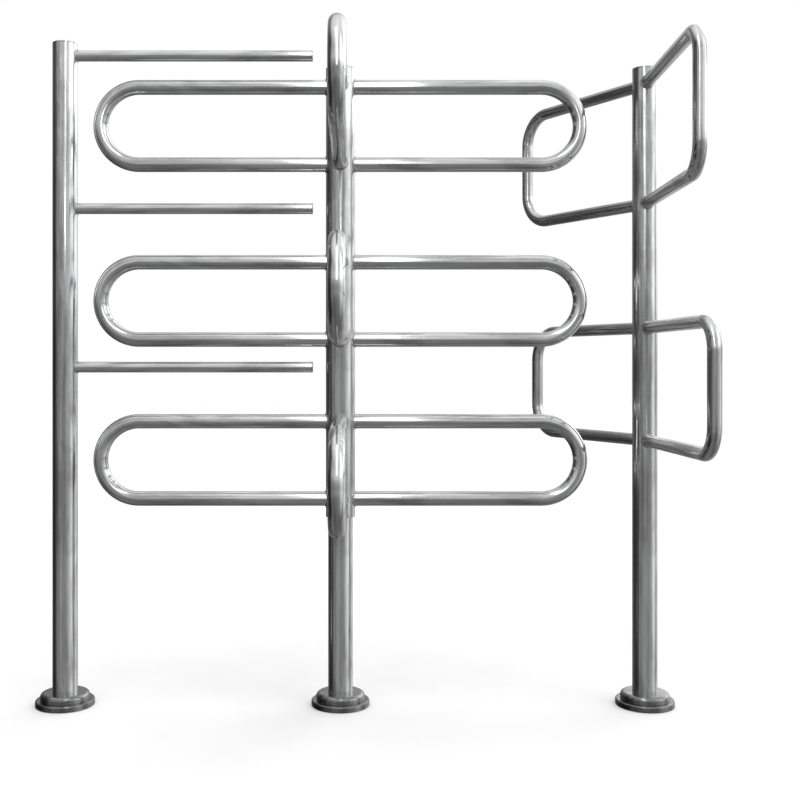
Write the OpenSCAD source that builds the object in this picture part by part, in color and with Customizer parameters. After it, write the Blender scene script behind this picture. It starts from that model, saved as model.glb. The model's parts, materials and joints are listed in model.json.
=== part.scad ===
// One-way walk-through turnstile: comb post, four-sided rotor post and guide post.
// Origin: the rotor axis at floor level. +X points to the guide post, +Y to the exit side, +Z up.

/* [Layout] */
// Distance from the rotor axis to the comb post axis
comb_post_offset = 570; // [560:1:620]
// Distance from the rotor axis to the guide post axis
guide_post_offset = 630; // [600:1:720]
// Height of the comb post with its cap
comb_post_height = 1368; // [1360:1:1500]
// Height of the guide post with its cap
guide_post_height = 1316; // [1300:1:1500]

/* [Posts] */
// Outside diameter of the three floor posts
post_d = 50.8; // [50:0.1:50.8]
// Wall thickness of the three floor posts
post_wall = 2; // [1.5:0.1:2.5]
// Thickness of the disc of a post cap
cap_t = 3; // [2:0.5:5]
// Edge rounding of a cap
cap_round = 1.2; // [0.5:0.1:1.5]
// Depth of a cap's spigot inside its tube
cap_spigot_h = 12; // [8:1:20]

/* [Floor flanges] */
// Diameter of a floor flange
flange_d = 120; // [116:1:140]
// Thickness of a floor flange
flange_t = 12; // [8:1:14]
// Edge rounding of a floor flange
flange_round = 3; // [1:0.5:4]
// Pitch circle of the four anchor holes
anchor_pcd = 76; // [74:1:78]
// Diameter of an anchor hole
anchor_hole_d = 11; // [9:0.5:12]
// Outside diameter of a flange cover
cover_d = 100; // [98:1:106]
// Height of a flange cover
cover_h = 15; // [13:1:24]
// Shoulder rounding of a flange cover
cover_round = 8; // [4:1:10]
// Sheet thickness of a flange cover
cover_wall = 1.2; // [0.8:0.1:2]
// Diameter of the sensor lead hole in the centre flange
lead_hole_d = 10; // [6:1:16]

/* [Comb bars] */
// Outside diameter of a comb bar
comb_bar_d = 22.2; // [20:0.1:25]
// Wall thickness of a comb bar
comb_bar_wall = 1.5; // [1:0.1:2]
// Distance from the comb post axis to a bar's free end
comb_bar_reach = 513; // [420:1:520]
// Height of the bottom comb bar
comb_z_bottom = 698; // [690:1:706]
// Height of the middle comb bar
comb_z_middle = 1026; // [1000:1:1040]
// Height of the top comb bar
comb_z_top = 1342; // [1335:1:1348]

/* [Rotor] */
// Outside diameter of the rotor sleeve
sleeve_d = 60.3; // [60.3:0.1:63.5]
// Wall thickness of the rotor sleeve
sleeve_wall = 2; // [1.9:0.05:2.1]
// Height of the sleeve's lower end above the floor
sleeve_bottom = 389; // [350:1:400]
// Height of the rotor cap's top face
rotor_top = 1316; // [1312:1:1330]
// Outside diameter of the wing tube
wing_d = 30; // [25:0.1:32]
// Wall thickness of the wing tube
wing_wall = 1.5; // [1.2:0.1:2]
// Distance from the rotor axis to the outermost point of a wing
wing_reach = 511; // [440:1:515]
// Distance between the two rails of a wing, centre to centre
wing_rail_gap = 160; // [140:1:162]
// Height of the middle of the lower wings
wing_z_lower = 506; // [490:1:510]
// Height of the middle of the centre wings
wing_z_centre = 835; // [825:1:840]
// Height of the middle of the upper wings
wing_z_upper = 1197; // [1185:1:1200]

/* [Guide loops] */
// Outside diameter of the guide tube
guide_d = 25.4; // [22:0.1:28]
// Wall thickness of the guide tube
guide_wall = 1.5; // [1.2:0.1:2]
// Distance between the upper loop's two rails, centre to centre
guide_upper_gap = 247; // [200:1:250]
// Distance between the lower loop's two rails, centre to centre
guide_lower_gap = 232; // [200:1:250]
// Reach of the entry halves from the post axis to their uprights
guide_near_reach = 404; // [300:1:450]
// Inward splay of the upper loop's entry half
guide_upper_near_splay = 2; // [-4:0.5:4]
// Inward splay of the lower loop's entry half, which leans outwards when negative
guide_lower_near_splay = -1.5; // [-4:0.5:4]
// Bend radius of the entry halves' corners
guide_near_bend = 52; // [40:1:90]
// Reach of the exit halves from the post axis to their uprights
guide_far_reach = 372; // [250:1:380]
// Inward splay of the upper loop's exit half, which follows the rotor's sweep
guide_upper_far_splay = 31; // [20:0.5:31]
// Inward splay of the lower loop's exit half
guide_lower_far_splay = 26.5; // [20:0.5:31]
// Bend radius of the exit halves' corners
guide_far_bend = 66; // [40:1:90]
// Height of the middle of the upper loop
guide_z_upper = 1159; // [1140:1:1165]
// Height of the middle of the lower loop
guide_z_lower = 663; // [500:1:680]

/* [Bearing and ratchet] */
// Height of the thrust bearing's seat
seat_z = 1240; // [1200:1:1244]
// Spindle diameter
spindle_d = 20; // [19:0.5:20]
// Outside diameter of the thrust bearing
bearing_d = 35; // [34:0.5:35]
// Number of bearing balls
ball_count = 10; // [8:1:10]
// Number of ratchet teeth
tooth_count = 12; // [12]
// Tip radius of the ratchet teeth
ratchet_tip_r = 16; // [15.8:0.1:16.2]
// Root radius of the ratchet teeth
ratchet_root_r = 13; // [12.8:0.1:13.2]
// Number of pulse magnets, one for each side of the rotor
magnet_count = 4; // [4]

/* [Hidden] */
$fn = 96;
COMB_LEVELS = [["bottom", comb_z_bottom], ["middle", comb_z_middle], ["top", comb_z_top]];
WING_LEVELS = [["lower", wing_z_lower], ["centre", wing_z_centre], ["upper", wing_z_upper]];
WING_SIDES = [["guide_side", 0], ["exit_side", 90], ["comb_side", 180], ["entry_side", 270]];
GUIDE_LEVELS = [
    ["lower", guide_z_lower, guide_lower_gap, guide_lower_near_splay, guide_lower_far_splay],
    ["upper", guide_z_upper, guide_upper_gap, guide_upper_near_splay, guide_upper_far_splay],
];
PAWLS = [["a", 0], ["b", 180]];

comb_x = -comb_post_offset;
guide_x = guide_post_offset;
post_bore_d = post_d - 2 * post_wall;
sleeve_bore_d = sleeve_d - 2 * sleeve_wall;
sleeve_top = rotor_top - cap_t;
cut = 1;                    // how far a cutting body runs past the face that it cuts
run_gap = 0.05;             // radial clearance of a running fit
cover_gap = 0.1;            // radial gap between a flange cover and its post

// Post head: a plug in the post's mouth, a collar on its rim and the rotor spindle
head_plug_h = 30;
head_collar_t = 5;
spindle_flats = 15;         // width across the spindle's two flats, where the ratchet wheel sits
spindle_flat_d = 18;
thread_d = 16;
hub_seat_z = seat_z + 11;   // top of the thrust bearing
hub_t = 13;
hub_top_z = hub_seat_z + hub_t;
wheel_lift = 2;             // gap between the hub's top and the ratchet wheel
wheel_z = hub_top_z + wheel_lift;
wheel_t = 6;
washer_d = 30;
washer_t = 3;
nut_t = 8;
nut_flats = 24;
thread_end = 3;             // length of thread standing above the nut

// Thrust bearing
race_t = 3.5;
race_bore_gap = 0.5;        // radial gap between the turning race and the spindle
ball_d = 5.9;
groove_d = 6.2;
ball_circle_r = 13.75;
ball_z = seat_z + 5.5;
cage_t = 1.6;
cage_in_r = 11.2;
cage_out_r = 16.6;
cage_pocket_d = 6.1;

// Bushes
bush_t = 2.5;               // wall of the hub bush
bush_h = 30;
bush_inset = 1;             // how far the lower bush sits above the sleeve's lower end

// Counter: magnets in the hub's underside pass over one fixed sensor
magnet_d = 5;
magnet_t = 3;
pulse_circle_r = 20.4;
sensor_d = 5;
sensor_angle = 45;
sensor_top_z = seat_z + 8;
sensor_tail_z = seat_z - head_collar_t - head_plug_h - 8;

// Pawls: the pivot and the tip are given for pawl a, whose tip lies in the tooth gap at angle 0
pawl_gap = 0.3;
pawl_pivot = [14.46, 17.24];
pawl_boss_r = 4;
pawl_pin_d = 4;
pawl_pin_depth = 8;
pawl_pin_head_d = 6;
pawl_pin_head_t = 1;
pawl_head_gap = 0.2;
pawl_tip_w = 3.5;
pawl_lift = 0.2;            // gap under a pawl and on top of it
spring_stud = [23, -3.2];
spring_stud_d = 3.8;
spring_eye_t = 0.7;
spring_leaf_t = 0.6;

module steel(shade = 0.78) { color([shade, shade, shade * 1.02]) children(); }
module at_comb() { translate([comb_x, 0, 0]) children(); }
module at_guide() { translate([guide_x, 0, 0]) children(); }

// Points of an arc about centre c, from angle a0 to a1
function arc(c, r, a0, a1, steps = 8) =
    [for (i = [0:steps]) c + r * [cos(a0 + (a1 - a0) * i / steps), sin(a0 + (a1 - a0) * i / steps)]];

// Upright tube standing on the XY plane
module tube(d, wall, h) {
    difference() {
        cylinder(d = d, h = h);
        translate([0, 0, -cut]) cylinder(d = d - 2 * wall, h = h + 2 * cut);
    }
}

// Disc whose upper edge is rounded
module rounded_disc(d, h, edge_r) {
    rotate_extrude() polygon(concat(
        [[0, 0], [d / 2, 0]],
        arc([d / 2 - edge_r, h - edge_r], edge_r, 0, 90),
        [[0, h]]
    ));
}

// One quarter of a bent tube's solid core, in the XZ plane, from +X round to +Z
module quarter_bend(bend_r, d) {
    rotate([90, 0, 0]) rotate_extrude(angle = 90) translate([bend_r, 0]) circle(d = d);
}

// Solid core of a lying U: two rails that run out along +X and an upright with two bends
module u_core(reach, gap, bend_r, d) {
    run = reach - bend_r;
    rise = gap / 2 - bend_r;
    for (side = [0, 1]) mirror([0, 0, side]) {
        translate([0, 0, gap / 2]) rotate([0, 90, 0]) cylinder(d = d, h = run);
        translate([run, 0, rise]) quarter_bend(bend_r, d);
    }
    if (rise > 0) translate([reach, 0, -rise]) cylinder(d = d, h = 2 * rise);
}

// Hollow U whose rails are coped to an upright tube of diameter host_d on the Z axis
module coped_u_tube(reach, gap, bend_r, d, wall, host_d) {
    difference() {
        u_core(reach, gap, bend_r, d);
        u_core(reach, gap, bend_r, d - 2 * wall);
        translate([0, 0, -gap]) cylinder(d = host_d, h = 2 * gap);
    }
}

// Four anchor holes through a flange
module anchor_holes() {
    for (i = [0:3]) rotate([0, 0, 45 + 90 * i]) translate([anchor_pcd / 2, 0, -cut])
        cylinder(d = anchor_hole_d, h = flange_t + 2 * cut);
}

module floor_flange() {
    difference() {
        rounded_disc(flange_d, flange_t, flange_round);
        anchor_holes();
    }
}

// Thin domed cover that slides down the post and hides the anchors
module flange_cover() {
    inner_r = cover_d / 2 - cover_wall;
    mouth_r = post_d / 2 + cover_gap;
    bend_c = [cover_d / 2 - cover_round, cover_h - cover_round];
    translate([0, 0, flange_t]) rotate_extrude() polygon(concat(
        [[inner_r, 0], [cover_d / 2, 0]],
        arc(bend_c, cover_round, 0, 90),
        [[mouth_r, cover_h], [mouth_r, cover_h - cover_wall]],
        arc(bend_c, cover_round - cover_wall, 90, 0)
    ));
}

// Turned cap: a rounded disc with a hollow spigot that plugs the tube below it
module tube_cap(d, bore_d) {
    rounded_disc(d, cap_t, cap_round);
    translate([0, 0, -cap_spigot_h]) tube(bore_d, post_wall, cap_spigot_h);
}

module comb_flange() { steel() at_comb() floor_flange(); }
module comb_flange_cover() { steel(0.82) at_comb() flange_cover(); }
module comb_post() {
    steel() at_comb() translate([0, 0, flange_t])
        tube(post_d, post_wall, comb_post_height - cap_t - flange_t);
}
module comb_post_cap() {
    steel(0.82) at_comb() translate([0, 0, comb_post_height - cap_t]) tube_cap(post_d, post_bore_d);
}

// Level bar that ends in a plug, its other end coped to the comb post
module comb_bar(z) {
    steel() at_comb() difference() {
        translate([0, 0, z]) rotate([0, 90, 0]) cylinder(d = comb_bar_d, h = comb_bar_reach - cap_t);
        translate([0, 0, z]) rotate([0, 90, 0])
            cylinder(d = comb_bar_d - 2 * comb_bar_wall, h = comb_bar_reach);
        translate([0, 0, z - post_d]) cylinder(d = post_d, h = 2 * post_d);
    }
}
module comb_bar_plugs() {
    steel(0.7) for (level = COMB_LEVELS)
        translate([comb_x + comb_bar_reach - cap_t, 0, level[1]]) rotate([0, 90, 0]) {
            rounded_disc(comb_bar_d, cap_t, cap_round);
            translate([0, 0, -cap_spigot_h])
                cylinder(d = comb_bar_d - 2 * comb_bar_wall, h = cap_spigot_h);
        }
}

module centre_flange() {
    steel() difference() {
        floor_flange();
        translate([0, 0, -cut]) cylinder(d = lead_hole_d, h = flange_t + 2 * cut);
    }
}
module centre_flange_cover() { steel(0.82) flange_cover(); }
module centre_post() {
    steel() translate([0, 0, flange_t]) tube(post_d, post_wall, seat_z - head_collar_t - flange_t);
}

// Round section with two flats that keeps the ratchet wheel from turning
module spindle_flat_section(h) {
    intersection() {
        cylinder(d = spindle_flat_d, h = h);
        translate([-spindle_d / 2, -spindle_flats / 2, 0]) cube([spindle_d, spindle_flats, h]);
    }
}
module post_head() {
    thread_h = washer_t + nut_t + thread_end;
    steel(0.6) difference() {
        union() {
            translate([0, 0, seat_z - head_collar_t - head_plug_h])
                cylinder(d = post_bore_d, h = head_plug_h);
            translate([0, 0, seat_z - head_collar_t]) cylinder(d = post_d, h = head_collar_t);
            translate([0, 0, seat_z]) cylinder(d = spindle_d, h = wheel_z - seat_z);
            translate([0, 0, wheel_z]) spindle_flat_section(wheel_t);
            translate([0, 0, wheel_z + wheel_t]) cylinder(d = thread_d, h = thread_h);
        }
        rotate([0, 0, sensor_angle]) translate([pulse_circle_r, 0, sensor_tail_z])
            cylinder(d = sensor_d, h = seat_z + cut - sensor_tail_z);
    }
}

// Race with a ball groove; its flat back lies on the XY plane
module bearing_race(bore_d) {
    difference() {
        cylinder(d = bearing_d, h = race_t);
        translate([0, 0, -cut]) cylinder(d = bore_d, h = race_t + 2 * cut);
        translate([0, 0, ball_z - seat_z]) rotate_extrude()
            translate([ball_circle_r, 0]) circle(d = groove_d);
    }
}
module bearing_lower_race() { steel(0.66) translate([0, 0, seat_z]) bearing_race(spindle_d); }
module bearing_upper_race() {
    steel(0.66) translate([0, 0, hub_seat_z]) mirror([0, 0, 1])
        bearing_race(spindle_d + 2 * race_bore_gap);
}
module on_ball_circle() {
    for (i = [0:ball_count - 1]) rotate([0, 0, 360 * i / ball_count])
        translate([ball_circle_r, 0, ball_z]) children();
}
module bearing_balls() { steel(0.85) on_ball_circle() sphere(d = ball_d); }
module bearing_cage() {
    color("darkgoldenrod") difference() {
        translate([0, 0, ball_z - cage_t / 2]) cylinder(r = cage_out_r, h = cage_t);
        translate([0, 0, ball_z - cage_t]) cylinder(r = cage_in_r, h = 2 * cage_t);
        on_ball_circle() translate([0, 0, -cage_t]) cylinder(d = cage_pocket_d, h = 2 * cage_t);
    }
}

// Saw-toothed wheel: each tooth ends in a radial face that a pawl leans on
module ratchet_wheel() {
    pitch = 360 / tooth_count;
    outline = [for (i = [0:tooth_count - 1], r = [ratchet_tip_r, ratchet_root_r])
        r * [cos(pitch * i), sin(pitch * i)]];
    steel(0.5) translate([0, 0, wheel_z]) difference() {
        linear_extrude(wheel_t) polygon(outline);
        translate([0, 0, -cut]) spindle_flat_section(wheel_t + 2 * cut);
    }
}
module spindle_washer() {
    steel(0.7) translate([0, 0, wheel_z + wheel_t]) tube(washer_d, (washer_d - thread_d) / 2, washer_t);
}
module spindle_nut() {
    steel(0.7) translate([0, 0, wheel_z + wheel_t + washer_t]) difference() {
        cylinder(d = nut_flats / cos(30), h = nut_t, $fn = 6);
        translate([0, 0, -cut]) cylinder(d = thread_d, h = nut_t + 2 * cut);
    }
}
module counter_sensor() {
    color("dimgray") rotate([0, 0, sensor_angle]) translate([pulse_circle_r, 0, sensor_tail_z])
        cylinder(d = sensor_d, h = sensor_top_z - sensor_tail_z);
}

module rotor_sleeve() {
    steel() translate([0, 0, sleeve_bottom]) tube(sleeve_d, sleeve_wall, sleeve_top - sleeve_bottom);
}
module rotor_cap() { steel(0.82) translate([0, 0, sleeve_top]) tube_cap(sleeve_d, sleeve_bore_d); }

module at_magnets() {
    for (i = [0:magnet_count - 1]) rotate([0, 0, 360 * i / magnet_count])
        translate([pulse_circle_r, 0, hub_seat_z]) children();
}
// Disc welded in the sleeve: it carries the rotor on the bearing and holds pawls and magnets
module rotor_hub() {
    steel(0.6) {
        difference() {
            translate([0, 0, hub_seat_z]) cylinder(d = sleeve_bore_d, h = hub_t);
            translate([0, 0, hub_seat_z - cut])
                cylinder(d = spindle_d + 2 * bush_t, h = hub_t + 2 * cut);
            at_magnets() translate([0, 0, -cut]) cylinder(d = magnet_d, h = magnet_t + cut);
            for (pawl = PAWLS) rotate([0, 0, pawl[1]])
                translate([pawl_pivot.x, pawl_pivot.y, hub_top_z - pawl_pin_depth])
                    cylinder(d = pawl_pin_d, h = pawl_pin_depth + cut);
        }
        for (pawl = PAWLS) rotate([0, 0, pawl[1]])
            translate([spring_stud.x, spring_stud.y, hub_top_z])
                cylinder(d = spring_stud_d, h = wheel_lift + wheel_t);
    }
}
module hub_bush() {
    color("peru") translate([0, 0, hub_seat_z]) tube(spindle_d + 2 * bush_t, bush_t - run_gap, hub_t);
}
module sleeve_bush(z) {
    color("ivory") translate([0, 0, z])
        tube(sleeve_bore_d, (sleeve_bore_d - post_d) / 2 - run_gap, bush_h);
}
module sleeve_bush_lower() { sleeve_bush(sleeve_bottom + bush_inset); }
module sleeve_bush_upper() { sleeve_bush(seat_z - head_collar_t - bush_h); }
module counter_magnets() { color("gray") at_magnets() cylinder(d = magnet_d, h = magnet_t); }

module pawl_pins() {
    shank = pawl_pin_depth + wheel_lift + wheel_t + pawl_head_gap;
    steel(0.7) for (pawl = PAWLS) rotate([0, 0, pawl[1]])
        translate([pawl_pivot.x, pawl_pivot.y, hub_top_z - pawl_pin_depth]) {
            cylinder(d = pawl_pin_d, h = shank);
            translate([0, 0, shank]) cylinder(d = pawl_pin_head_d, h = pawl_pin_head_t);
        }
}
module pawl(angle) {
    tip_in = ratchet_root_r + pawl_gap;
    outline = [
        [tip_in, pawl_gap],
        [tip_in + pawl_tip_w, pawl_gap],
        [pawl_pivot.x + pawl_boss_r, pawl_pivot.y],
        [pawl_pivot.x - pawl_boss_r / 2, pawl_pivot.y - pawl_boss_r],
        [tip_in + 1, pawl_pivot.y / 2],
    ];
    steel(0.5) rotate([0, 0, angle]) translate([0, 0, hub_top_z + pawl_lift]) difference() {
        union() {
            translate([pawl_pivot.x, pawl_pivot.y, 0])
                cylinder(r = pawl_boss_r, h = wheel_lift + wheel_t - pawl_lift);
            linear_extrude(wheel_lift + wheel_t - pawl_lift) polygon(outline);
        }
        translate([pawl_pivot.x, pawl_pivot.y, -cut])
            cylinder(d = pawl_pin_d + 2 * run_gap, h = wheel_t + wheel_lift + 2 * cut);
    }
}
// Leaf spring: an eye on the hub's stud and a straight leaf that leans on the pawl's back
module pawl_spring(angle) {
    eye_r = spring_stud_d / 2 + spring_eye_t;
    leaf_end = [ratchet_root_r + pawl_tip_w + 2 * pawl_gap + spring_leaf_t, pawl_pivot.y / 2];
    color("goldenrod") rotate([0, 0, angle]) translate([0, 0, wheel_z + wheel_lift / 2]) difference() {
        union() {
            translate([spring_stud.x, spring_stud.y, 0]) cylinder(r = eye_r, h = wheel_t - wheel_lift);
            linear_extrude(wheel_t - wheel_lift) polygon([
                [spring_stud.x - eye_r, spring_stud.y + spring_leaf_t],
                [spring_stud.x - eye_r + 2 * spring_leaf_t, spring_stud.y + 2 * spring_leaf_t],
                [leaf_end.x + spring_leaf_t, leaf_end.y],
                leaf_end,
            ]);
        }
        translate([spring_stud.x, spring_stud.y, -cut])
            cylinder(d = spring_stud_d, h = wheel_t + 2 * cut);
    }
}

module wing(z, angle) {
    centre_reach = wing_reach - wing_d / 2;
    steel() rotate([0, 0, angle]) translate([0, 0, z])
        coped_u_tube(centre_reach, wing_rail_gap, wing_rail_gap / 2, wing_d, wing_wall, sleeve_d);
}

module guide_flange() { steel() at_guide() floor_flange(); }
module guide_flange_cover() { steel(0.82) at_guide() flange_cover(); }
module guide_post() {
    steel() at_guide() translate([0, 0, flange_t])
        tube(post_d, post_wall, guide_post_height - cap_t - flange_t);
}
module guide_post_cap() {
    steel(0.82) at_guide() translate([0, 0, guide_post_height - cap_t]) tube_cap(post_d, post_bore_d);
}
module guide_half(z, gap, angle, reach, bend_r) {
    steel() at_guide() rotate([0, 0, angle]) translate([0, 0, z])
        coped_u_tube(reach, gap, bend_r, guide_d, guide_wall, post_d);
}
module guide_entry(level) {
    guide_half(level[1], level[2], -90 - level[3], guide_near_reach, guide_near_bend);
}
module guide_exit(level) {
    guide_half(level[1], level[2], 90 + level[4], guide_far_reach, guide_far_bend);
}

comb_flange();
comb_flange_cover();
comb_post();
comb_post_cap();
comb_bar_plugs();
for (level = COMB_LEVELS)
    comb_bar(level[1]);
centre_flange();
centre_flange_cover();
centre_post();
post_head();
bearing_lower_race();
bearing_cage();
bearing_balls();
bearing_upper_race();
ratchet_wheel();
spindle_washer();
spindle_nut();
counter_sensor();
rotor_sleeve();
rotor_cap();
rotor_hub();
hub_bush();
sleeve_bush_lower();
sleeve_bush_upper();
counter_magnets();
pawl_pins();
for (item = PAWLS)
    pawl(item[1]);
for (item = PAWLS)
    pawl_spring(item[1]);
for (level = WING_LEVELS, side = WING_SIDES)
    wing(level[1], side[1]);
guide_flange();
guide_flange_cover();
guide_post();
guide_post_cap();
for (level = GUIDE_LEVELS)
    guide_entry(level);
for (level = GUIDE_LEVELS)
    guide_exit(level);
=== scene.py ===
"""Looks of the walk-through turnstile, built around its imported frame.

Metres, with +Z up and +Y away from the camera.
"""
import json
import math

import bmesh
import bpy
from mathutils import Matrix, Vector


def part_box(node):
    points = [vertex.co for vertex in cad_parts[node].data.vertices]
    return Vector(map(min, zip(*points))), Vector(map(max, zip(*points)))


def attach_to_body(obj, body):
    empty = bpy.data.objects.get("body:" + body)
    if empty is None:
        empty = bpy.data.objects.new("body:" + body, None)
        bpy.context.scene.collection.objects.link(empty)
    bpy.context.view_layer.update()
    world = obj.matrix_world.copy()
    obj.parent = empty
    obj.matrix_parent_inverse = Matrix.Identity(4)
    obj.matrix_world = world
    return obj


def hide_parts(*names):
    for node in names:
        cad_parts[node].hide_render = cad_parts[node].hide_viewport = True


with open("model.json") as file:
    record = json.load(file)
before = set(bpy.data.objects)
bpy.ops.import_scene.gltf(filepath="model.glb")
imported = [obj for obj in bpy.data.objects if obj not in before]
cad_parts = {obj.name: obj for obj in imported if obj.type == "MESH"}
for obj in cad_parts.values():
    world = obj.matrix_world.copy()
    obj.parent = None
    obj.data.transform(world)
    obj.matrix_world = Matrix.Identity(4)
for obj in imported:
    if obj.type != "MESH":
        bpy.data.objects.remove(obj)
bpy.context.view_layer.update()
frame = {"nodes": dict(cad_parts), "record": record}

scene = bpy.context.scene

# ---------------------------------------------------------------- sizes
MM = 0.001
RING_STEPS = 80            # points round a tube
LATHE_STEPS = 128          # points round a turned piece
ARC_STEPS = 6              # steps of a rounded edge
BEND_STEPS = 40            # steps of a quarter bend
ROW_STEP = 40 * MM         # longest step along a straight tube
SUPPORT = 0.5 * MM         # points this close to an edge keep the reflections of long faces straight
SLIVER = 0.01 * MM         # anything narrower than this counts as nothing
SHARP_ANGLE = math.radians(50)

POST_WALL = 2 * MM
THIN_WALL = 1.5 * MM       # of the wings, the guide loops and the comb bars
GUIDE_D = 25.4 * MM
GUIDE_BEND = {"entry": 52 * MM, "exit": 66 * MM}
TUBE_END_ROUND = 0.4 * MM
BORE_GAP = 0.05 * MM       # keeps a spigot's mesh clear of its tube's

CAP_T = 3 * MM
CAP_RECESS = 1 * MM        # how far a cap's hollow spigot is bored into its top
CAP_ROUND = 1.2 * MM
PLUG_T = 3 * MM
PLUG_DEPTH = 12 * MM
PLUG_EDGE_ROUND = 0.25 * MM
EDGE_ROUND = 0.3 * MM      # broken edges of caps and covers

FLANGE_ROUND = 3 * MM
FLANGE_FOOT_ROUND = 0.8 * MM
ANCHOR_PCD = 76 * MM
ANCHOR_HOLE_D = 11 * MM
LEAD_HOLE_D = 10 * MM      # lets the counter's lead out of the centre flange
COVER_WALL = 1.2 * MM
COVER_ROUND = 8 * MM
COVER_GAP = 0.1 * MM       # between a cover's mouth and its post

WELD_R = 1.9 * MM
WELD_PITCH = 2.6 * MM      # distance between two ripples of a weld
WELD_RIPPLE = 0.08         # height of a ripple, as a share of the weld's radius
RIPPLE_STEPS = 4           # rings of a weld in one ripple
WELD_STEPS = 10            # points round a weld

WING_LEVELS = ("lower", "centre", "upper")
WING_SIDES = {"guide_side": 0, "exit_side": 90, "comb_side": 180, "entry_side": 270}
GUIDE_LEVELS = ("lower", "upper")
COMB_LEVELS = ("bottom", "middle", "top")

record = frame["record"]
body_of_node = {n: body for body, nodes in record["behaviour"]["bodies"].items() for n in nodes}
slot_of_node = {s["node"]: s["material_slot"] for s in record["subparts"]}


def size_of(node):
    low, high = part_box(node)
    return high - low


def middle_of(node):
    low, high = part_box(node)
    return (low + high) / 2


# ---------------------------------------------------------------- material nodes
def add_node(tree, kind, inputs=None, **settings):
    """Adds a node. inputs maps a socket's name or number to a value or to another node's output."""
    made = tree.nodes.new(kind)
    for key, value in settings.items():
        setattr(made, key, value)
    for key, value in (inputs or {}).items():
        if isinstance(value, bpy.types.NodeSocket):
            tree.links.new(value, made.inputs[key])
        else:
            made.inputs[key].default_value = value
    return made


def math_node(tree, operation, a, b=0.0):
    return add_node(tree, "ShaderNodeMath", {0: a, 1: b}, operation=operation).outputs[0]


def multiply_vectors(tree, a, b):
    return add_node(tree, "ShaderNodeVectorMath", {0: a, 1: b}, operation="MULTIPLY").outputs[0]


def weighted_sum(tree, *terms):
    """Adds up (value, weight) pairs, clamped to 0..1."""
    total = 0.0
    for value, weight in terms:
        inputs = {0: value, 1: weight, 2: total}
        made = add_node(tree, "ShaderNodeMath", inputs, operation="MULTIPLY_ADD", use_clamp=True)
        total = made.outputs[0]
    return total


def noise(tree, vector, scale, detail=4.0, roughness=0.55, distortion=0.0):
    """Noise with scale features to the metre. Three scales stretch it along X, Y and Z."""
    if isinstance(scale, tuple):
        vector = multiply_vectors(tree, vector, scale)
        scale = 1.0
    made = add_node(tree, "ShaderNodeTexNoise", {
        "Vector": vector, "Scale": scale, "Detail": detail, "Roughness": roughness, "Distortion": distortion,
    })
    return made.outputs["Fac"]


def remap(tree, value, low, high, to_low=0.0, to_high=1.0):
    """Maps low..high to to_low..to_high, clamped, with soft ends."""
    made = add_node(tree, "ShaderNodeMapRange", {
        "Value": value, "From Min": low, "From Max": high, "To Min": to_low, "To Max": to_high,
    }, interpolation_type="SMOOTHSTEP")
    return made.outputs["Result"]


def mix_colour(tree, factor, a, b):
    """Colour a where factor is 0, and colour b where it is 1."""
    inputs = {"Factor": factor, 6: a, 7: b}
    return add_node(tree, "ShaderNodeMix", inputs, data_type="RGBA", blend_type="MIX").outputs[2]


def bump(tree, height, distance, strength=1.0, normal=None):
    inputs = {"Height": height, "Distance": distance, "Strength": strength}
    if normal is not None:
        inputs["Normal"] = normal
    return add_node(tree, "ShaderNodeBump", inputs).outputs["Normal"]


def object_coordinates(tree):
    return add_node(tree, "ShaderNodeTexCoord").outputs["Object"]


def wrapped_coordinates(tree, radius):
    """Seamless coordinates of a swept or turned surface, in metres: X and Y go round it, and Z along it."""
    uv = add_node(tree, "ShaderNodeUVMap", uv_map="along").outputs["UV"]
    split = add_node(tree, "ShaderNodeSeparateXYZ", {0: uv})
    angle = math_node(tree, "MULTIPLY", split.outputs["X"], 2 * math.pi)
    across = math_node(tree, "MULTIPLY", math_node(tree, "COSINE", angle), radius)
    up = math_node(tree, "MULTIPLY", math_node(tree, "SINE", angle), radius)
    return add_node(tree, "ShaderNodeCombineXYZ", {"X": across, "Y": up, "Z": split.outputs["Y"]}).outputs[0]


# ---------------------------------------------------------------- materials
def grey(value, tint=0.0):
    """A nearly neutral metal colour. A positive tint is cooler."""
    return (value * (1 - tint), value, value * (1 + tint), 1.0)


def new_material(name, **constants):
    """A material with its Principled shader. constants are values of its sockets, with _ for a space."""
    material = bpy.data.materials.new(name)
    material.use_nodes = True
    shader = next(n for n in material.node_tree.nodes if n.type == "BSDF_PRINCIPLED")
    for key, value in constants.items():
        shader.inputs[key.replace("_", " ")].default_value = value
    return material, material.node_tree, shader


def wire(tree, shader, colour, roughness, normal):
    for socket, value in (("Base Color", colour), ("Roughness", roughness), ("Normal", normal)):
        tree.links.new(value, shader.inputs[socket])


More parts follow.
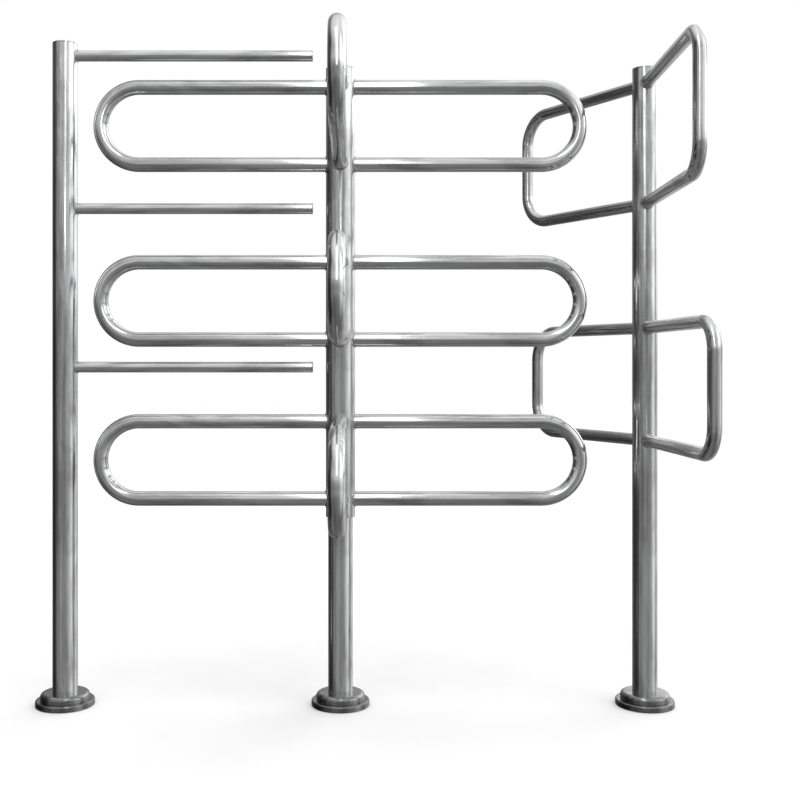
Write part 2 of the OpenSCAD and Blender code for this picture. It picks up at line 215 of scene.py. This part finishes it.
def polished_metal(
    name, radius, colour, dull, roughness=(0.09, 0.19),
    waviness=0.9 * MM, line_depth=0.002 * MM, draw_depth=0.6 * MM,
):
    """Polished stainless steel of a piece with this radius. dull is for smudges and for painted reflection
    streaks, and the second roughness is for smudges.

    It has shallow waves, drawing lines along it, polishing marks round it, smudges, specks and scratches, and
    long darker stripes along it: painted reflection streaks that stand in for the streaky reflections of
    polished tube.
    """
    material, tree, shader = new_material(name, Metallic=1.0)
    wrapped = wrapped_coordinates(tree, radius)

    smudge = noise(tree, wrapped, (14.0, 14.0, 5.0), detail=4.0, roughness=0.6, distortion=0.6)
    smudge = remap(tree, smudge, 0.42, 0.60)
    # Painted reflection streaks: long stripes along the piece that darken its colour towards dull, standing
    # in for streaky reflections.
    painted_reflection_streak = remap(tree, noise(tree, wrapped, (120.0, 120.0, 5.0), detail=3.0, roughness=0.6), 0.36, 0.66)
    marks = noise(tree, wrapped, (6.0, 6.0, 2600.0), detail=3.0, roughness=0.7)
    hairline = noise(tree, wrapped, (900.0, 900.0, 22.0), detail=2.0, roughness=0.5)
    hairline = remap(tree, hairline, 0.66, 0.74)
    speck = noise(tree, object_coordinates(tree), 420.0, detail=2.0, roughness=0.5)
    speck = remap(tree, speck, 0.70, 0.78)

    # The colour darkens towards dull with real smudges and specks, and with the painted reflection streaks.
    smudge_speck_and_painted_streak = weighted_sum(tree, (smudge, 0.45), (painted_reflection_streak, 0.45), (speck, 0.15))
    polish = remap(tree, smudge, 0.0, 1.0, *roughness)
    rough = weighted_sum(tree, (polish, 1.0), (marks, 0.03), (hairline, 0.06), (speck, 0.10))

    wave = noise(tree, wrapped, (16.0, 16.0, 5.0), detail=2.0, roughness=0.5)
    drawn = noise(tree, wrapped, (120.0, 120.0, 1.5), detail=2.0, roughness=0.5)
    normal = bump(tree, wave, waviness)
    normal = bump(tree, drawn, draw_depth, normal=normal)
    normal = bump(tree, marks, line_depth, normal=normal)
    normal = bump(tree, hairline, 0.006 * MM, strength=0.6, normal=normal)
    wire(tree, shader, mix_colour(tree, smudge_speck_and_painted_streak, colour, dull), rough, normal)
    return material


def weld_metal():
    """Ground weld seam: duller than the tube, with a trace of heat colour."""
    material, tree, shader = new_material("weld_seam", Metallic=1.0)
    place = object_coordinates(tree)
    heat = remap(tree, noise(tree, place, 60.0, detail=3.0, roughness=0.6, distortion=0.5), 0.40, 0.66)
    tint = mix_colour(tree, heat, (0.46, 0.455, 0.45, 1), (0.34, 0.325, 0.30, 1))
    grain = noise(tree, place, 900.0, detail=4.0, roughness=0.65)
    wire(tree, shader, tint, remap(tree, grain, 0.25, 0.75, 0.22, 0.42), bump(tree, grain, 0.03 * MM))
    return material


def machined_metal(name, colour, dull, roughness=(0.22, 0.38), grain_scale=700.0, depth=0.01 * MM):
    """Turned or ground steel inside the head: fine tool marks round Z, with a film of oil in patches."""
    material, tree, shader = new_material(name, Metallic=1.0)
    place = object_coordinates(tree)
    marks = noise(tree, place, (20.0, 20.0, 2000.0), detail=2.0, roughness=0.6)
    grain = noise(tree, place, grain_scale, detail=3.0, roughness=0.6)
    oil = remap(tree, noise(tree, place, 55.0, detail=3.0, roughness=0.5, distortion=0.4), 0.45, 0.62)
    finish = weighted_sum(tree, (marks, 0.6), (grain, 0.4))
    rough = remap(tree, finish, 0.3, 0.7, *roughness)
    wire(tree, shader, mix_colour(tree, oil, colour, dull), rough, bump(tree, finish, depth))
    return material


def moulded_plastic(name, colour, dull, roughness=(0.38, 0.55)):
    """Turned or moulded plastic with a fine grain and dust in patches."""
    material, tree, shader = new_material(name, Metallic=0.0, Specular_IOR_Level=0.45)
    place = object_coordinates(tree)
    grain = noise(tree, place, 1400.0, detail=3.0, roughness=0.6)
    dust = remap(tree, noise(tree, place, 40.0, detail=4.0, roughness=0.6), 0.45, 0.70)
    rough = remap(tree, grain, 0.3, 0.7, *roughness)
    wire(tree, shader, mix_colour(tree, dust, colour, dull), rough, bump(tree, grain, 0.02 * MM))
    return material


# ---------------------------------------------------------------- meshes
class Surface:
    """Quads and triangles with a UV map called "along": U goes round the piece, and V along it in metres."""

    def __init__(self):
        self.points, self.faces, self.uvs = [], [], []

    def add_ring(self, ring):
        start = len(self.points)
        self.points += ring
        return list(range(start, start + len(ring)))

    def bridge(self, a, b, va, vb):
        """Joins ring a to ring b. A ring of one point is a pole."""
        count = max(len(a), len(b))
        for i in range(count):
            j = (i + 1) % count
            u, w = i / count, (i + 1) / count
            corners = []
            for ring, pair, v in ((a, (i, j), va), (b, (j, i), vb)):
                if len(ring) == 1:
                    corners.append((ring[0], ((u + w) / 2, v)))
                else:
                    corners += [(ring[k], (u if k == i else w, v)) for k in pair]
            self.faces.append([c[0] for c in corners])
            self.uvs += [c[1] for c in corners]

    def sweep(self, rings, lengths):
        """Joins the rings in turn, and the last to the first. lengths says how far along each one is."""
        made = [self.add_ring(ring) for ring in rings]
        last_step = (rings[0][0] - rings[-1][0]).length
        lengths = [*lengths, lengths[-1] + last_step]
        for k, ring in enumerate(made):
            following = made[(k + 1) % len(made)]
            if len(ring) > 1 or len(following) > 1:
                self.bridge(ring, following, lengths[k], lengths[k + 1])

    def build(self, name, material):
        mesh = bpy.data.meshes.new(name)
        mesh.from_pydata(self.points, [], self.faces)
        mesh.uv_layers.new(name="along").data.foreach_set("uv", [c for uv in self.uvs for c in uv])
        mesh.polygons.foreach_set("use_smooth", [True] * len(mesh.polygons))
        mesh.materials.append(material)
        mesh.validate()
        mesh.set_sharp_from_angle(angle=SHARP_ANGLE)
        piece = bpy.data.objects.new(name, mesh)
        scene.collection.objects.link(piece)
        return piece


def attach(piece, body, slot, *nodes):
    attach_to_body(piece, body)
    if nodes:
        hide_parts(*nodes)
    return piece


def stand_for(piece, node):
    """The piece takes a CAD node's place and body."""
    attach(piece, body_of_node[node], slot_of_node[node], node)


def angles_round(count):
    """The angles of count points spaced evenly round a circle."""
    return [2 * math.pi * i / count for i in range(count)]


def distances(points):
    """How far along their line each of the points is."""
    lengths = [0.0]
    for a, b in zip(points, points[1:]):
        lengths.append(lengths[-1] + (b - a).length)
    return lengths


def rounded(corners):
    """A closed outline from (r, z, rounding) corners. Rounded ones become arcs between support points."""
    outline = []
    for k, (r, z, rounding) in enumerate(corners):
        corner = Vector((r, z))
        if not rounding:
            outline.append(corner)
            continue
        before = Vector(corners[k - 1][:2]) - corner
        after = Vector(corners[(k + 1) % len(corners)][:2]) - corner
        a, b = before.normalized(), after.normalized()
        half = a.angle(b) / 2
        reach = rounding / math.tan(half)
        centre = corner + (a + b).normalized() * rounding / math.sin(half)
        start, end = corner + a * reach - centre, corner + b * reach - centre
        turn = math.pi - 2 * half
        arc = [
            centre + (start * math.sin(turn * (1 - t)) + end * math.sin(turn * t)) / math.sin(turn)
            for t in (i / ARC_STEPS for i in range(ARC_STEPS + 1))
        ]
        outline += [arc[0] + a * SUPPORT, *arc, arc[-1] + b * SUPPORT]
    return outline


def lathe(name, centre, corners, material, axis="Z"):
    """Turns a closed outline of (r, z, rounding) corners round an axis. z is measured from centre."""
    outline = rounded(corners)
    rings = []
    for r, z in outline:
        ring = []
        for angle in angles_round(LATHE_STEPS if r > SLIVER else 1):
            c, s = r * math.cos(angle), r * math.sin(angle)
            ring.append(centre + (Vector((c, s, z)) if axis == "Z" else Vector((z, c, s))))
        rings.append(ring)
    surface = Surface()
    surface.sweep(rings, distances(outline))
    return surface.build(name, material)


def spaced(low, high):
    """Places from low to high, no further apart than ROW_STEP, with support places next to both ends."""
    first, length = low + 2 * SUPPORT, high - low - 4 * SUPPORT
    count = max(1, math.ceil(length / ROW_STEP))
    return [low, *(first + length * i / count for i in range(count + 1)), high]


def u_path(start, reach, gap, bend_r):
    """Centre line of a lying U in the XZ plane, as (point, direction) pairs: out, round two bends, back."""
    run, rise = reach - bend_r, gap / 2 - bend_r
    upper = [(Vector((x, 0, gap / 2)), Vector((1, 0, 0))) for x in spaced(start, run)]
    for i in range(1, BEND_STEPS + 1):
        a = math.pi / 2 * i / BEND_STEPS
        out = Vector((math.sin(a), 0, math.cos(a)))
        upper.append((Vector((run, 0, rise)) + out * bend_r, Vector((math.cos(a), 0, -math.sin(a)))))
    lower = [(Vector((p.x, 0, -p.z)), Vector((-d.x, 0, d.z))) for p, d in reversed(upper)]
    if rise <= SUPPORT:
        return upper + lower[1:]
    upright = [(Vector((reach, 0, -z)), Vector((0, 0, -1))) for z in spaced(-rise, rise)[1:-1]]
    return upper + upright + lower


def tube_rings(path, radius):
    """Rings of a tube along (point, direction) pairs in the XZ plane."""
    side = Vector((0, 1, 0))
    rings = []
    for point, direction in path:
        up = direction.cross(side)
        spokes = [side * math.cos(a) + up * math.sin(a) for a in angles_round(RING_STEPS)]
        rings.append([point + spoke * radius for spoke in spokes])
    return rings


def cope(ring, host_r):
    """Shapes the end of a tube along X to an upright host of radius host_r on the Z axis."""
    for point in ring:
        point.x = math.sqrt(host_r ** 2 - point.y ** 2)


def placed(rings, centre, angle):
    """Turns rings about Z by angle, in radians, and moves them to centre."""
    c, s = math.cos(angle), math.sin(angle)
    return [[centre + Vector((p.x * c - p.y * s, p.x * s + p.y * c, p.z)) for p in ring] for ring in rings]


def hollow(name, outer, inner, lengths, material):
    """A tube from the rings of its outside and its inside, closed through its wall at both ends."""
    surface = Surface()
    surface.sweep(outer + inner[::-1], lengths + [2 * lengths[-1] - v for v in lengths[::-1]])
    return surface.build(name, material)


def weld_rings(tube_r, host_r):
    """A rippled bead along the seam of a level tube along X that meets an upright host on the Z axis."""
    count = RIPPLE_STEPS * round(2 * math.pi * tube_r / WELD_PITCH)
    rings = []
    for i, a in enumerate(angles_round(count)):
        lateral, rise = tube_r * math.cos(a), tube_r * math.sin(a)
        depth = math.sqrt(host_r ** 2 - lateral ** 2)
        at = Vector((depth, lateral, rise))
        out_of_host = Vector((depth, lateral, 0)) / host_r
        out_of_tube = Vector((0, math.cos(a), math.sin(a)))
        heading = out_of_host.cross(out_of_tube).normalized()
        u = (out_of_host + out_of_tube).normalized()
        v = heading.cross(u)
        bead_r = WELD_R * (1 + WELD_RIPPLE * math.cos(2 * math.pi * i / RIPPLE_STEPS))
        rings.append([at + (u * math.cos(b) + v * math.sin(b)) * bead_r for b in angles_round(WELD_STEPS)])
    return rings


def add_weld(surface, centre, angle, tube_r, host_r):
    rings = placed(weld_rings(tube_r, host_r), centre, angle)
    surface.sweep(rings, [WELD_PITCH / RIPPLE_STEPS * i for i in range(len(rings))])


# ---------------------------------------------------------------- measures from the frame
post_r = size_of("centre_post").x / 2
sleeve_r = size_of("rotor_sleeve").x / 2
wing_r = size_of("upper_wing_guide_side").y / 2
bar_r = size_of("comb_bar_top").z / 2
flange_r, flange_t = size_of("guide_flange").x / 2, size_of("guide_flange").z
cover_r, cover_h = size_of("guide_flange_cover").x / 2, size_of("guide_flange_cover").z
guide_r = GUIDE_D / 2
axis_x = {side: middle_of(f"{side}_flange").x for side in ("comb", "centre", "guide")}

tube_metal = polished_metal("polished_tube", post_r, grey(0.82, 0.01), grey(0.32))
bar_metal = polished_metal("polished_bar", bar_r, grey(0.80, 0.01), grey(0.30))
cap_metal = polished_metal(
    "turned_cap", post_r, grey(0.58, 0.01), grey(0.42), (0.08, 0.17),
    waviness=0.04 * MM, line_depth=0.008 * MM, draw_depth=0.0,
)
# The flange cover is the same polished steel as the posts, given a much darker colour: painted shade for the
# dark look of steel near the floor.
shade_darkened_cover_metal = polished_metal(
    "spun_cover", cover_r, grey(0.34, 0.01), grey(0.20), (0.08, 0.20),
    waviness=0.3 * MM, line_depth=0.008 * MM, draw_depth=0.0,
)
# The floor flange is the same polished steel as the posts, given a still darker colour: painted shade for the
# dark look of steel near the floor.
shade_darkened_flange_metal = polished_metal(
    "floor_flange", flange_r, grey(0.26, 0.01), grey(0.17), (0.12, 0.24),
    waviness=0.3 * MM, line_depth=0.01 * MM, draw_depth=0.0,
)
seam_metal = weld_metal()


# ---------------------------------------------------------------- pieces
def upright_tube(node, radius):
    low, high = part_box(node)
    middle = middle_of(node)
    height, bore_r = high.z - low.z, radius - POST_WALL
    corners = [
        (radius, 0.0, TUBE_END_ROUND), (radius, height, TUBE_END_ROUND),
        (bore_r, height, 0), (bore_r, 0.0, 0),
    ]
    foot = Vector((middle.x, middle.y, low.z))
    stand_for(lathe(node + "_tube", foot, corners, tube_metal), node)


def tube_cap(node, radius):
    low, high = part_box(node)
    middle = middle_of(node)
    seat = high.z - CAP_T
    spigot_r, spigot_z = radius - POST_WALL - BORE_GAP, low.z - seat
    hollow_r = spigot_r - POST_WALL
    corners = [
        (0.0, CAP_T, 0), (0.0, CAP_RECESS, 0), (hollow_r, CAP_RECESS, 0), (hollow_r, spigot_z, 0),
        (spigot_r, spigot_z, 0), (spigot_r, 0.0, 0), (radius, 0.0, EDGE_ROUND), (radius, CAP_T, CAP_ROUND),
    ]
    stand_for(lathe(node + "_turned", Vector((middle.x, middle.y, seat)), corners, cap_metal), node)


def drill(plate, holes):
    """Cuts round holes, given as (x, y, diameter), right through a flat plate on the floor."""
    bits = bmesh.new()
    for x, y, diameter in holes:
        bmesh.ops.create_cone(
            bits, cap_ends=True, segments=LATHE_STEPS // 2, radius1=diameter / 2, radius2=diameter / 2,
            depth=4 * flange_t, matrix=Matrix.Translation((x, y, 0)),
        )
    mesh = bpy.data.meshes.new("drill_bits")
    bits.to_mesh(mesh)
    bits.free()
    drills = bpy.data.objects.new("drill_bits", mesh)
    scene.collection.objects.link(drills)
    cut = plate.modifiers.new("holes", "BOOLEAN")
    cut.operation = "DIFFERENCE"
    cut.solver = "EXACT"
    cut.object = drills
    drilled = bpy.data.meshes.new_from_object(plate.evaluated_get(bpy.context.evaluated_depsgraph_get()))
    plate.modifiers.clear()
    bpy.data.objects.remove(drills)

    clean = bmesh.new()
    clean.from_mesh(drilled)
    bmesh.ops.dissolve_degenerate(clean, dist=SLIVER, edges=clean.edges)
    clean.to_mesh(drilled)
    clean.free()
    drilled.set_sharp_from_angle(angle=SHARP_ANGLE)
    plate.data = drilled


def floor_flange(side):
    node = f"{side}_flange"
    x = axis_x[side]
    corners = [
        (0.0, flange_t, 0), (0.0, 0.0, 0),
        (flange_r, 0.0, FLANGE_FOOT_ROUND), (flange_r, flange_t, FLANGE_ROUND),
    ]
    plate = lathe(node + "_plate", Vector((x, 0, 0)), corners, shade_darkened_flange_metal)
    reach = ANCHOR_PCD / 2 / math.sqrt(2)
    holes = [(x + i * reach, j * reach, ANCHOR_HOLE_D) for i in (-1, 1) for j in (-1, 1)]
    if side == "centre":
        holes.append((x, 0.0, LEAD_HOLE_D))
    drill(plate, holes)
    stand_for(plate, node)


def flange_cover(side):
    node = f"{side}_flange_cover"
    mouth_r = post_r + COVER_GAP
    inner_r, inner_h = cover_r - COVER_WALL, cover_h - COVER_WALL
    corners = [
        (cover_r, 0.0, EDGE_ROUND), (cover_r, cover_h, COVER_ROUND), (mouth_r, cover_h, EDGE_ROUND),
        (mouth_r, inner_h, 0), (inner_r, inner_h, COVER_ROUND - COVER_WALL), (inner_r, 0.0, 0),
    ]
    seat = Vector((axis_x[side], 0, flange_t))
    stand_for(lathe(node + "_shell", seat, corners, shade_darkened_cover_metal), node)


def welded_loop(node, welds, host_x, host_r, radius, angle, reach, bend_r):
    """A hollow bent tube in its node's place, coped to its host at both ends, and its two weld seams."""
    gap = size_of(node).z - 2 * radius
    centre = Vector((host_x, 0, middle_of(node).z))
    path = u_path(host_r, reach, gap, bend_r)
    skins = []
    for skin_r in (radius, radius - THIN_WALL):
        rings = tube_rings(path, skin_r)
        cope(rings[0], host_r)
        cope(rings[-1], host_r)
        skins.append(placed(rings, centre, angle))
    stand_for(hollow(node + "_loop", *skins, distances([point for point, _ in path]), tube_metal), node)
    for rail in (-gap / 2, gap / 2):
        add_weld(welds, centre + Vector((0, 0, rail)), angle, radius, host_r)


def rotor_wings():
    welds = Surface()
    for level in WING_LEVELS:
        for side, degrees in WING_SIDES.items():
            node = f"{level}_wing_{side}"
            reach = max(abs(c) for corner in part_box(node) for c in corner.xy) - wing_r
            bend_r = size_of(node).z / 2 - wing_r
            welded_loop(node, welds, 0.0, sleeve_r, wing_r, math.radians(degrees), reach, bend_r)
    attach(welds.build("rotor_welds", seam_metal), "rotor", "polished_tube")


def upright_axis(node, bend_r):
    """Where the upright of a guide loop stands, seen from above."""
    middle, size = middle_of(node).z, size_of(node)
    half_height = size.z / 2 - guide_r - bend_r + SUPPORT
    ends = [
        v.co for v in frame["nodes"][node].data.vertices
        if abs(v.co.z - middle) < half_height and abs(v.co.y) > 0.5 * size.y
    ]
    return Vector([(min(c) + max(c)) / 2 for c in ([v.x for v in ends], [v.y for v in ends])])


def guide_loops(welds):
    for level in GUIDE_LEVELS:
        for half, bend_r in GUIDE_BEND.items():
            node = f"{level}_guide_{half}"
            arm = upright_axis(node, bend_r) - Vector((axis_x["guide"], 0))
            angle = math.atan2(arm.y, arm.x)
            welded_loop(node, welds, axis_x["guide"], post_r, guide_r, angle, arm.length, bend_r)


def comb_bar(node, welds):
    """A hollow bar along X in its node's place, coped and welded to the post. Gives where its tip is."""
    tip_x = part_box(node)[1].x - axis_x["comb"]
    centre = Vector((axis_x["comb"], 0, middle_of(node).z))
    places = spaced(post_r, tip_x)
    path = [(Vector((x, 0, 0)), Vector((1, 0, 0))) for x in places]
    skins = []
    for skin_r in (bar_r, bar_r - THIN_WALL):
        rings = tube_rings(path, skin_r)
        cope(rings[0], post_r)
        skins.append(placed(rings, centre, 0.0))
    stand_for(hollow(node + "_tube", *skins, places, bar_metal), node)
    add_weld(welds, centre, 0.0, bar_r, post_r)
    return centre + Vector((tip_x, 0, 0))


def bar_plug(name, tip):
    plug_r = bar_r - THIN_WALL - BORE_GAP
    corners = [
        (0.0, PLUG_T, 0), (0.0, -PLUG_DEPTH, 0), (plug_r, -PLUG_DEPTH, 0), (plug_r, 0.0, 0),
        (bar_r, 0.0, PLUG_EDGE_ROUND), (bar_r, PLUG_T, CAP_ROUND),
    ]
    return attach(lathe(name, tip, corners, cap_metal, axis="X"), "floor_frame", "turned_cap")


def comb_bars(welds):
    tips = {level: comb_bar(f"comb_bar_{level}", welds) for level in COMB_LEVELS}
    plugs = [bar_plug(f"comb_bar_plug_{level}", tip) for level, tip in tips.items()]
    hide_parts("comb_bar_plugs")


for side in axis_x:
    upright_tube(f"{side}_post", post_r)
    floor_flange(side)
    flange_cover(side)
upright_tube("rotor_sleeve", sleeve_r)
tube_cap("comb_post_cap", post_r)
tube_cap("guide_post_cap", post_r)
tube_cap("rotor_cap", sleeve_r)
rotor_wings()
frame_welds = Surface()
guide_loops(frame_welds)
comb_bars(frame_welds)
attach(frame_welds.build("frame_welds", seam_metal), "floor_frame", "polished_tube")

inner_metals = {
    "machined_steel": machined_metal("machined_steel", grey(0.48, 0.01), grey(0.36)),
    "bearing_steel": machined_metal(
        "bearing_steel", grey(0.60), grey(0.48), (0.10, 0.22), grain_scale=900.0, depth=0.004 * MM
    ),
    "hardened_steel": machined_metal("hardened_steel", grey(0.26, 0.02), grey(0.18), (0.28, 0.45)),
    "spring_steel": machined_metal("spring_steel", (0.20, 0.20, 0.26, 1), (0.26, 0.22, 0.16, 1), (0.25, 0.4)),
    "cage_brass": machined_metal("cage_brass", (0.70, 0.52, 0.24, 1), (0.55, 0.40, 0.18, 1), (0.2, 0.36)),
    "bush_bronze": machined_metal("bush_bronze", (0.55, 0.36, 0.18, 1), (0.38, 0.24, 0.12, 1), (0.3, 0.5)),
    "bush_acetal": moulded_plastic("bush_acetal", (0.80, 0.78, 0.71, 1), (0.62, 0.60, 0.54, 1)),
    "sensor_body": moulded_plastic("sensor_body", (0.03, 0.03, 0.033, 1), (0.08, 0.08, 0.08, 1)),
    "magnet": machined_metal("magnet", (0.52, 0.51, 0.47, 1), (0.40, 0.39, 0.36, 1), (0.15, 0.3)),
}
for node, node_object in frame["nodes"].items():
    inner_metal = inner_metals.get(slot_of_node[node])
    if inner_metal:
        node_object.data.materials.clear()
        node_object.data.materials.append(inner_metal)

# ---------------------------------------------------------------- studio
FLOOR_SIZE = 40.0
BACKDROP_R = 18.0
CAMERA_PLACE = (0.030, -2.240, 0.704)
CAMERA_LENS = 48.69
CAMERA_SHIFT = (0.0563, -0.0447)

# What the steel mirrors, as brightness by compass degrees from the camera's side, clockwise from above
WALLS = (
    (-180, 0.35), (-150, 0.16), (-118, 0.06), (-92, 0.04), (-76, 0.10), (-60, 0.34), (-46, 0.30),
    (-30, 0.46), (-14, 0.46), (4, 0.42), (20, 0.46), (40, 0.58), (55, 0.90), (66, 1.20), (78, 1.40),
    (92, 0.85), (104, 0.58), (118, 1.25), (140, 1.15), (160, 0.8), (180, 0.35),
)
# How much of it shows, by the sine of the angle above the horizon
HEIGHTS = (
    (-1.0, 0.26), (-0.5, 0.46), (-0.25, 0.70), (-0.12, 0.62), (-0.02, 0.72), (0.08, 0.95), (0.25, 1.60),
    (0.35, 1.65), (0.6, 1.40), (0.85, 1.40), (1.0, 1.6),
)
POLE_BRIGHTNESS = 0.65     # stands for the walls where the mirrored direction is nearly straight up or down

scene.view_settings.view_transform = "Standard"


def studio_floor():
    """Pale floor. Steel doesn't mirror it, but the dim lower half of the studio's world."""
    mesh = bpy.data.meshes.new("studio_floor")
    far = FLOOR_SIZE / 2
    mesh.from_pydata([(-far, -far, 0), (far, -far, 0), (far, far, 0), (-far, far, 0)], [], [(0, 1, 2, 3)])
    floor = bpy.data.objects.new("studio_floor", mesh)
    scene.collection.objects.link(floor)
    material, tree, shader = new_material("pale_floor", Metallic=0.0, Roughness=0.85, Specular_IOR_Level=0.2)
    mottle = remap(tree, noise(tree, object_coordinates(tree), 3.0, detail=5.0, roughness=0.6), 0.3, 0.7)
    colour = mix_colour(tree, mottle, (0.80, 0.80, 0.80, 1), (0.77, 0.77, 0.775, 1))
    tree.links.new(colour, shader.inputs["Base Color"])
    mesh.materials.append(material)
    floor.visible_glossy = False


def studio_backdrop():
    """White surroundings that only the camera sees."""
    bpy.ops.mesh.primitive_uv_sphere_add(segments=48, ring_count=24, radius=BACKDROP_R)
    dome = bpy.context.object
    dome.name = "studio_backdrop"
    material = bpy.data.materials.new("backdrop_white")
    material.use_nodes = True
    tree = material.node_tree
    tree.nodes.clear()
    glow = add_node(tree, "ShaderNodeEmission", {"Color": (1, 1, 1, 1), "Strength": 1.0})
    add_node(tree, "ShaderNodeOutputMaterial", {"Surface": glow.outputs[0]})
    dome.data.materials.append(material)
    dome.visible_glossy = dome.visible_diffuse = dome.visible_shadow = dome.visible_transmission = False


def grey_ramp(tree, position, stops):
    """A soft ramp of greys. stops are (position, brightness) pairs."""
    low, high = stops[0][0], stops[-1][0]
    at = add_node(tree, "ShaderNodeMapRange", {"Value": position, "From Min": low, "From Max": high})
    ramp = add_node(tree, "ShaderNodeValToRGB", {"Fac": at.outputs["Result"]})
    elements = ramp.color_ramp.elements
    ramp.color_ramp.interpolation = "EASE"
    for place, _ in stops[1:-1]:
        elements.new((place - low) / (high - low))
    for element, (_, brightness) in zip(elements, stops):
        element.color = grey(brightness)
    return ramp.outputs["Color"]


def studio_world():
    """What the steel mirrors: a bright ceiling, a dim floor, a dark left wall and a bright right one."""
    world = bpy.data.worlds.new("studio")
    scene.world = world
    world.use_nodes = True
    tree = world.node_tree
    tree.nodes.clear()
    direction = add_node(tree, "ShaderNodeTexCoord").outputs["Generated"]
    split = add_node(tree, "ShaderNodeSeparateXYZ", {0: direction})
    towards_camera = math_node(tree, "MULTIPLY", split.outputs["Y"], -1.0)
    compass = math_node(tree, "DEGREES", math_node(tree, "ARCTAN2", split.outputs["X"], towards_camera))
    steepness = remap(tree, math_node(tree, "ABSOLUTE", split.outputs["Z"]), 0.55, 0.92)
    around = mix_colour(tree, steepness, grey_ramp(tree, compass, WALLS), grey(POLE_BRIGHTNESS))
    light = multiply_vectors(tree, around, grey_ramp(tree, split.outputs["Z"], HEIGHTS))
    shade = add_node(tree, "ShaderNodeBackground", {"Color": light, "Strength": 1.0})
    add_node(tree, "ShaderNodeOutputWorld", {"Surface": shade.outputs[0]})


def softbox(name, place, target, width, height, power, mirrored):
    """A soft rectangular lamp that faces its target. mirrored says whether the steel shows it."""
    lamp = bpy.data.lights.new(name, "AREA")
    lamp.shape = "RECTANGLE"
    lamp.size, lamp.size_y = width, height
    lamp.energy = power
    holder = bpy.data.objects.new(name, lamp)
    scene.collection.objects.link(holder)
    holder.location = place
    holder.rotation_euler = (Vector(target) - Vector(place)).to_track_quat("-Z", "Y").to_euler()
    holder.visible_camera = False
    holder.visible_glossy = mirrored


def camera():
    """Level camera in front of the rotor, shifted so that the guide loops fit on the right."""
    lens = bpy.data.cameras.new("camera")
    holder = bpy.data.objects.new("camera", lens)
    scene.collection.objects.link(holder)
    holder.location = CAMERA_PLACE
    holder.rotation_euler = (math.radians(90), 0, 0)
    lens.sensor_width = 36.0
    lens.lens = CAMERA_LENS
    lens.shift_x, lens.shift_y = CAMERA_SHIFT
    scene.camera = holder


studio_floor()
studio_backdrop()
studio_world()
softbox(
    "overhead_softbox", place=(0.0, 0.0, 8.0), target=(0.0, 0.0, 0.0),
    width=60.0, height=60.0, power=6400.0, mirrored=False,
)
softbox(
    "front_strip", place=(0.04, -1.5, 1.9), target=(0.0, -0.5, 0.8),
    width=0.42, height=2.2, power=6.0, mirrored=True,
)
camera()
